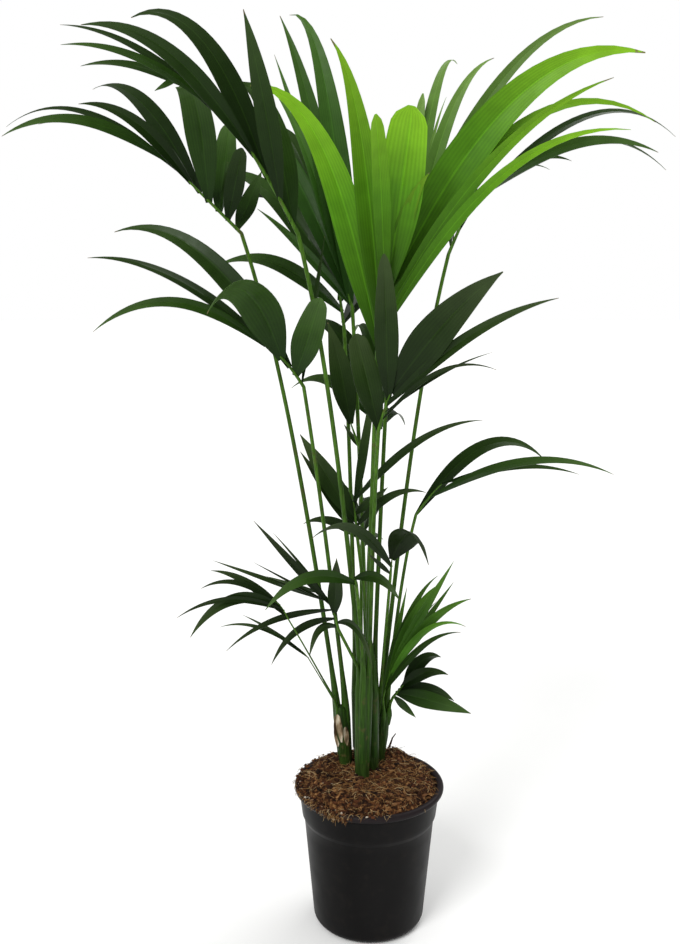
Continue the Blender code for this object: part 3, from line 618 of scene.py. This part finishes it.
for name, spec in fronds.items():
    fan, lean, length, droop, footRadius = spec["stalk"]
    seat = math.radians(spec["seat"])
    stem = stems[spec["stem"]]
    top = Vector(stem["top"])
    foot = top + Vector((math.cos(seat), math.sin(seat), 0)) * seatRadius
    stalkPath = grow(foot + up * straight, fan, lean, length / 100, droop)
    direction = along(stalkPath, 1)[1]
    radius = footRadius / 1000
    # the stalk's broad base starts lower down, against the side of the stem
    bodyRadius = min(form["body"], radius * form["bodySpread"])
    axis = top - Vector((*stem["foot"], soilForm["crown"]))
    below = axis.length * (form["reach"] if length > form["shortStalk"] else form["shortReach"])
    axis.normalize()
    outer = form["out"] + form["outMore"] * (1 - bodyRadius / form["body"])
    steps = form["steps"]
    base = []
    for i in range(steps):
        base.append(top - axis * below * (1 - i / steps) + (foot - top) * (outer + (1 - outer) * i / steps))
    base.append(foot)
    path = base + stalkPath[1:] + [stalkPath[-1] + direction * straight / 2]
    total = length / 100 + below
    sheath = min(form["sheathMost"], form["sheathShare"] * length / 100 + form["sheathMore"])

    def stalkRadius(t, angle):
        walked = max(along(path, t)[0].z - base[0].z, 0)
        share = min(max(walked / (total * form["taperOver"]), 0), 1)
        plain = radius + (radius * headShare - radius) * share ** form["taper"]
        wide = max(0, 1 - max(walked - below * form["sheathFrom"], 0) / sheath) ** form["sheathPower"]
        size = plain + (bodyRadius - plain) * wide
        channel = 1 - form["channel"] * math.exp(-((angle - form["channelAt"]) / form["channelWidth"]) ** 2)
        return size * channel * (1 + form["ridgeHeight"] * math.sin(angle * form["ridges"]))

    stalk = laidTube(stalkModel, "stalk_" + name + "_skin", path, stalkRadius)
    smoothed(stalk, 60)
    dressed(stalk, stalkPaint, "stalk", "stalk_" + name)

    ribFan, ribLean, ribLength, ribDroop = spec["rib"]
    rib = grow(stalkPath[-1] + direction * straight, ribFan, ribLean, ribLength / 100, ribDroop)
    ribPath = [stalkPath[-1] + direction * (straight / 2)] + rib
    headRadius = radius * headShare

    def ribRadius(t, angle):
        return headRadius * (1 - form["ribTaper"] * t)

    # the rib takes the stalk's colour near its top, with that colour's painted light
    ribPiece = laidTube(stalkModel, "rib_" + name, ribPath, ribRadius, level=form["ribAlong"])
    smoothed(ribPiece, 60)
    dressed(ribPiece, stalkPaint, "stalk")
    blades = []
    last = len(spec["leaves"]) - 1
    for i, (leafFan, leafLength, width, leafDroop, *ownLean) in enumerate(spec["leaves"]):
        share = bareRib + (1 - bareRib) * i / last
        leafLean = spec["lean"] + spec["spread"] * (1 if i % 2 == 0 else -1)
        if ownLean:
            leafLean = ownLean[0]
        root = along(rib, share)[0]
        path = grow(root, leafFan, leafLean, leafLength / 100, leafDroop)
        path[0] = root - heading(leafFan, leafLean) * leafForm["rootDepth"]
        blunt = bluntTips.get(name, {}).get(i, 1.0)
        width *= widerLeaves.get(name, {}).get(i, 1)
        blades.append(laidLeaf("leaf", path, width / 1000, blunt, random.uniform(-0.35, 0.35),
                               random.choice(leafTones.get(spec["colour"], (0.2, 0.5, 0.8)))))
    # finer leaves stand between the broad ones
    for i in range(finerLeaves.get(name, 0)):
        j = random.randrange(last)
        one, two = spec["leaves"][j], spec["leaves"][j + 1]
        mixed = random.uniform(*finer["between"])
        if abs(two[0] - one[0]) > finer["widestGap"]:
            continue
        fineFan = one[0] + (two[0] - one[0]) * mixed
        fineLength = min(one[1], two[1]) * random.uniform(*finer["length"]) / 100
        side = 1 if i % 2 == 0 else -1
        fineLean = spec["lean"] + spec["spread"] * side * random.uniform(*finer["lean"])
        root = along(rib, bareRib + (1 - bareRib) * (j + mixed) / last)[0]
        fineDroop = max(one[3], two[3]) * random.uniform(*finer["droop"])
        path = grow(root, fineFan, fineLean, fineLength, fineDroop)
        fineWidth = min(one[2], two[2]) * random.uniform(*finer["width"]) / 1000
        blades.append(laidLeaf("leaf", path, fineWidth, 1.0, random.uniform(*finer["twist"]),
                               random.choice(finer["tones"])))
    frond = joined(blades, "frond_" + name + "_leaves")
    thicken(frond, leafThickness)
    dressed(frond, paints[spec["colour"]], "frond_" + spec["colour"], "frond_" + name)
print("fronds ready")

# The pot: its stations run out along the underside, up the wall and collar, over the lip and down the inside
pot = dict(height=0.248, lip=0.125, drop=0.012, collarTop=0.1175, collarFoot=0.1125, collarHeight=0.195,
           step=0.008, wallTop=0.1090, wallFoot=0.0940, corner=0.015, around=120,
           underside=[(0.040, 0.0008), (0.068, 0.0008), (0.070, 0.0)],
           inside=[(0.1150, 0.236), (0.1103, 0.195), (0.1068, 0.186), (0.0915, 0.014), (0.078, 0.0030),
                   (0.02, 0.0030)],
           drains=6, drainRadius=0.006, drainCircle=0.055)
stations = list(pot["underside"])
for i in range(1, 9):
    a = math.radians(-90 + 85 * i / 8)
    stations.append((pot["wallFoot"] - pot["corner"] + pot["corner"] * math.cos(a),
                     pot["corner"] + pot["corner"] * math.sin(a)))
stepTop = pot["collarHeight"]
for i in range(1, 10):
    share = i / 9
    height = pot["corner"] + (stepTop - pot["step"] - pot["corner"]) * share
    stations.append((pot["wallFoot"] + (pot["wallTop"] - pot["wallFoot"]) * share, height))
stations += [(pot["wallTop"] + 0.0004, stepTop - pot["step"] + 0.0010),
             (pot["collarFoot"] - 0.0004, stepTop - 0.0010), (pot["collarFoot"], stepTop)]
collarEnd = pot["height"] - pot["drop"]
for i in range(1, 7):
    share = i / 6
    stations.append((pot["collarFoot"] + (pot["collarTop"] - pot["collarFoot"]) * share,
                     stepTop + (collarEnd - stepTop) * share))
lipRadius = pot["drop"] / 2
for i in range(13):
    a = math.radians(-80 + 235 * i / 12)
    stations.append((pot["lip"] - lipRadius + lipRadius * math.cos(a),
                     pot["height"] - lipRadius + lipRadius * math.sin(a)))
stations += pot["inside"]
tub = turnUp("pot_skin", stations, pot["around"])
for i in range(pot["drains"]):
    x, y = onCircle(pot["drainCircle"], 2 * math.pi * (i + 0.5) / pot["drains"])
    bpy.ops.mesh.primitive_cylinder_add(vertices=20, radius=pot["drainRadius"], depth=0.02,
                                        location=(x, y, 0))
    drill = bpy.context.active_object
    pick(tub)
    hole = tub.modifiers.new("hole", 'BOOLEAN')
    hole.operation = 'DIFFERENCE'
    hole.object = drill
    bpy.ops.object.modifier_apply(modifier=hole.name)
    bpy.data.objects.remove(drill, do_unlink=True)
smoothed(tub, 40)
potPaint, tree, shader = newPaint("potBlack", 0.36, 0.07)
streaks = ramped(tree, grain(tree, 9, 4, (1, 1, 0.12)),
                 [(0.35, (0.0035, 0.0032, 0.0032)), (0.7, (0.0065, 0.006, 0.006))])
dust = ramped(tree, grain(tree, 60, 5), [(0.52, (0, 0, 0)), (0.72, (1, 1, 1))])
place = tree.nodes.new("ShaderNodeTexCoord")
apart = tree.nodes.new("ShaderNodeSeparateXYZ")
tree.links.new(place.outputs["Object"], apart.inputs["Vector"])
# the lip is a little lighter than the wall
upper = ramped(tree, worked(tree, 'MULTIPLY_ADD', apart.outputs["Z"], 60.0, -14.0),
               [(0.0, (0, 0, 0)), (0.6, (1, 1, 1))])
colour = blended(tree, upper, streaks, (0.016, 0.012, 0.013))
colour = blended(tree, worked(tree, 'MULTIPLY', dust, 0.03), colour, (0.10, 0.075, 0.055))
tree.links.new(colour, shader.inputs["Base Color"])
tree.links.new(worked(tree, 'MULTIPLY_ADD', grain(tree, 24), 0.25, 0.30), shader.inputs["Roughness"])
dressed(tub, potPaint, "pot", "pot")
print("pot ready")


# The potting mix: crust, crumbs and coir threads
# heaps: place, width and height. lumps: scale, level and height of each size of unevenness
soilRelief = dict(heaps=[(0.052, 0.084, 0.022, 0.011), (-0.07, 0.05, 0.035, 0.005)],
                  lumps=[(42, 0.5, 0.0038), (170, 2.5, 0.0022), (420, 7.5, 0.0011)],
                  spill=0.007, spillTurn=0.45, spillWidth=0.7)


def soilHeight(x, y):
    form = soilForm
    relief = soilRelief
    r = math.hypot(x, y)
    share = min(max((r - form["crownRadius"]) / (form["rim"] - form["crownRadius"]), 0), 1)
    height = form["crown"] - (form["crown"] - form["edge"]) * (1 - math.cos(share * math.pi / 2))
    heap = 0
    for heapX, heapY, width, rise in relief["heaps"]:
        heap += rise * math.exp(-((x - heapX) ** 2 + (y - heapY) ** 2) / width ** 2)
    uneven = 0
    for scale, level, rise in relief["lumps"]:
        uneven += rise * noise.noise(Vector((x * scale, y * scale, level)))
    turn = (math.atan2(y, -x) + relief["spillTurn"]) / relief["spillWidth"]
    spill = relief["spill"] * share * math.exp(-turn ** 2)
    fade = 1 - max(0, share - 0.85) * 4
    return height + heap + spill + uneven * fade


crust = dict(under=[(0.03, 0.195), (0.1085, 0.195), (0.1130, 0.225)], level=0.24, rings=60, middle=0.001,
             around=160)
stations = list(crust["under"])
for i in range(crust["rings"]):
    stations.append((soilForm["rim"] - (soilForm["rim"] - crust["middle"]) * i / (crust["rings"] - 1),
                     crust["level"]))
mix = turnUp("mix_crust", stations, crust["around"])
for vert in mix.data.vertices:
    if vert.co.z > crust["level"] - 0.001:
        vert.co.z = soilHeight(vert.co.x, vert.co.y)
smoothed(mix, 70)
mixPaint, tree, shader = newPaint("coirMix", 0.95)
colour = ramped(tree, grain(tree, 150, 8), [(0.36, (0.006, 0.003, 0.002)), (0.47, (0.034, 0.014, 0.006)),
                                            (0.57, (0.125, 0.048, 0.016)), (0.68, (0.340, 0.185, 0.070))])
colour = blended(tree, ramped(tree, grain(tree, 24, 3), [(0.42, (0, 0, 0)), (0.62, (1, 1, 1))]), colour,
                 blended(tree, 0.6, colour, (0.02, 0.009, 0.005)))
tree.links.new(colour, shader.inputs["Base Color"])
dressed(mix, mixPaint, "soil", "soil")

bpy.ops.mesh.primitive_ico_sphere_add(subdivisions=1, radius=1)
crumbModel = bpy.context.active_object
crumbModel.name = "crumbModel"


def crumbPiece(x, y, z, size, tone):
    crumb = copyOf(crumbModel, "crumb")
    seed = Vector((x * 900, y * 900, z * 900))
    squash = Vector((random.uniform(0.7, 1.4), random.uniform(0.6, 1.2), random.uniform(0.5, 0.9)))
    spin = random.uniform(0, math.pi)
    for vert in crumb.data.vertices:
        bump = 1 + 0.45 * noise.noise(vert.co * 1.4 + seed)
        vx, vy, vz = vert.co.x * squash.x * bump, vert.co.y * squash.y * bump, vert.co.z * squash.z * bump
        vert.co = Vector((x + size * (vx * math.cos(spin) - vy * math.sin(spin)),
                          y + size * (vx * math.sin(spin) + vy * math.cos(spin)), z + size * vz))
    mark(crumb, "tone", [tone] * len(crumb.data.vertices))
    return crumb


def threadPiece(start, turn, length, thick, rise, tone, sink=0.0):
    points = [Vector(start)]
    bend = random.uniform(-2.4, 2.4)
    for i in range(10):
        t = (i + 0.5) / 10
        aim = Vector((math.cos(turn + bend * t), math.sin(turn + bend * t),
                      rise * (0.5 - t) * 2 - sink * t * 2))
        points.append(points[-1] + aim.normalized() * length / 10)
    return laidTube(threadModel, "thread", points, lambda t, angle: thick * (1 - 0.4 * t), tone)


# Crumbs and threads strewn over the mix, every seventh crumb a coarse one
strewn = dict(crumbs=1300, crumbReach=0.97, fine=(0.0008, 0.0026), coarse=(0.003, 0.0052), paleBelow=0.0013,
              threads=1500, threadReach=0.93, long=(0.006, 0.022), thick=(0.00018, 0.00038))
crumbs = []
threads = []
for i in range(strewn["crumbs"]):
    r = soilForm["rim"] * math.sqrt(random.uniform(0, strewn["crumbReach"]))
    x, y = onCircle(r, random.uniform(0, 2 * math.pi))
    size = random.uniform(*strewn["fine"]) if i % 7 else random.uniform(*strewn["coarse"])
    crumbs.append(crumbPiece(x, y, soilHeight(x, y) + size * 0.2, size,
                             random.random() * (0.92 if size > strewn["paleBelow"] else 1)))
for i in range(strewn["threads"]):
    r = soilForm["rim"] * math.sqrt(random.uniform(0, strewn["threadReach"]))
    x, y = onCircle(r, random.uniform(0, 2 * math.pi))
    threads.append(threadPiece((x, y, soilHeight(x, y) + random.uniform(0, 0.001)), random.uniform(0, 6.3),
                               random.uniform(*strewn["long"]), random.uniform(*strewn["thick"]),
                               random.uniform(0.1, 0.7), random.random()))
# crumbs and threads spilt over the lip from the left round to the front, and some that hang on its outside
spilt = dict(crumbs=420, crumbTurn=(205, 32), crumbRing=(0.1115, 0.1242), lipTop=0.2478, ringMiddle=0.119,
             threads=260, threadTurn=(212, 30), threadRing=(0.112, 0.1232), threadHeight=0.2492,
             hanging=90, hangingTurn=(240, 7), hangingRing=0.1252, hangingTop=0.2462)
for i in range(spilt["crumbs"]):
    a = math.radians(random.gauss(*spilt["crumbTurn"]))
    r = random.uniform(*spilt["crumbRing"])
    x, y = onCircle(r, a)
    size = random.uniform(0.0008, 0.0030)
    height = spilt["lipTop"] + 0.0022 * random.random() - 40 * max(r - spilt["ringMiddle"], 0) ** 2
    crumbs.append(crumbPiece(x, y, height, size, random.random()))
for i in range(spilt["threads"]):
    a = math.radians(random.gauss(*spilt["threadTurn"]))
    x, y = onCircle(random.uniform(*spilt["threadRing"]), a)
    threads.append(threadPiece((x, y, spilt["threadHeight"]), a + random.uniform(-1.0, 1.0),
                               random.uniform(0.005, 0.015), random.uniform(0.00018, 0.00036), 0.3,
                               random.random(), random.uniform(0.2, 1.1)))
for i in range(spilt["hanging"]):
    a = math.radians(random.gauss(*spilt["hangingTurn"]))
    x, y = onCircle(spilt["hangingRing"] + random.uniform(-0.0006, 0.0012), a)
    height = spilt["hangingTop"] - abs(random.gauss(0, 0.0045))
    crumbs.append(crumbPiece(x, y, height, random.uniform(0.0007, 0.0022), random.random()))
    threads.append(threadPiece((x, y, height + 0.002), a + random.uniform(-1.2, 1.2),
                               random.uniform(0.004, 0.010), 0.00025, 0.2, random.random(), 1.6))
twig = [Vector((0.036, 0.092, 0.262)), Vector((0.040, 0.093, 0.272)), Vector((0.043, 0.091, 0.283)),
        Vector((0.049, 0.092, 0.291))]
threads.append(laidTube(threadModel, "twig", twig, lambda t, angle: 0.0024 * (1 - 0.6 * t), 0.0))
crumbPaint, tree, shader = newPaint("mixCrumbs", 0.95)
colour = ramped(tree, readMark(tree, "tone"), [(0.0, (0.008, 0.004, 0.003)), (0.45, (0.040, 0.015, 0.007)),
                                               (0.80, (0.110, 0.036, 0.013)), (0.93, (0.20, 0.10, 0.04)),
                                               (0.985, (0.55, 0.48, 0.38))])
colour = blended(tree, worked(tree, 'MULTIPLY', grain(tree, 300), 0.5), colour, (0.02, 0.012, 0.008))
tree.links.new(colour, shader.inputs["Base Color"])
threadPaint, tree, shader = newPaint("coirThreads", 0.85)
colour = ramped(tree, readMark(tree, "tone"), [(0.0, (0.05, 0.020, 0.008)), (0.4, (0.19, 0.085, 0.026)),
                                               (0.75, (0.42, 0.24, 0.085)), (1.0, (0.66, 0.50, 0.26))])
colour = blended(tree, worked(tree, 'MULTIPLY', grain(tree, 200), 0.4), colour, (0.06, 0.03, 0.012))
tree.links.new(colour, shader.inputs["Base Color"])
crumbHeap = joined(crumbs, "mix_crumbs")
dressed(crumbHeap, crumbPaint, "soil")
threadHeap = joined(threads, "mix_threads")
smoothed(threadHeap, 80)
dressed(threadHeap, threadPaint, "soil")
for model in (leafModel, stalkModel, stemModel, threadModel, crumbModel):
    bpy.data.objects.remove(model, do_unlink=True)
print("potting mix ready")

# Camera, light and floor. focal and across are in pixels of the picture, and down is the angle it looks down
view = dict(place=(-0.049, -1.78, 1.168), down=12.3, focal=1150, across=680, sensor=36)
bpy.ops.object.camera_add(location=view["place"], rotation=(math.radians(90 - view["down"]), 0, 0))
camera = bpy.context.active_object
camera.data.sensor_fit = 'HORIZONTAL'
camera.data.sensor_width = view["sensor"]
camera.data.lens = view["focal"] / view["across"] * view["sensor"]
camera.data.clip_end = 50
bpy.context.scene.camera = camera

lights = [
    dict(name="keyLight", tilt=(38, -30), angle=24, power=1.7),
    dict(name="rimLight", tilt=(-30, 34), angle=40, power=1.0),
]
for spec in lights:
    bpy.ops.object.light_add(type='SUN', location=(0, 0, 3),
                             rotation=[math.radians(turn) for turn in spec["tilt"]] + [0])
    lamp = bpy.context.active_object
    lamp.name = spec["name"]
    lamp.data.angle = math.radians(spec["angle"])
    lamp.data.energy = spec["power"]
# the room is white to the camera, a softer light on the plant, and dimmer still in what its surfaces mirror
room = dict(light=0.70, seenMore=0.30, mirroredLess=-0.48)
world = bpy.data.worlds.new("paleRoom")
world.use_nodes = True
background = world.node_tree.nodes["Background"]
background.inputs["Color"].default_value = (1, 1, 1, 1)
seen = world.node_tree.nodes.new("ShaderNodeLightPath")
strength = worked(world.node_tree, 'MULTIPLY_ADD', seen.outputs["Is Camera Ray"], room["seenMore"],
                  room["light"])
strength = worked(world.node_tree, 'MULTIPLY_ADD', seen.outputs["Is Glossy Ray"], room["mirroredLess"],
                  strength)
world.node_tree.links.new(strength, background.inputs["Strength"])
bpy.context.scene.world = world
bpy.context.scene.view_settings.view_transform = 'Standard'
bpy.ops.mesh.primitive_plane_add(size=24, location=(0, 0, -0.0005))
floor = bpy.context.active_object
floor.name = "paleFloor"
floorPaint, tree, shader = newPaint("paleFloor", 0.7)
shader.inputs["Base Color"].default_value = (0.92, 0.92, 0.91, 1)
floor.data.materials.append(floorPaint)
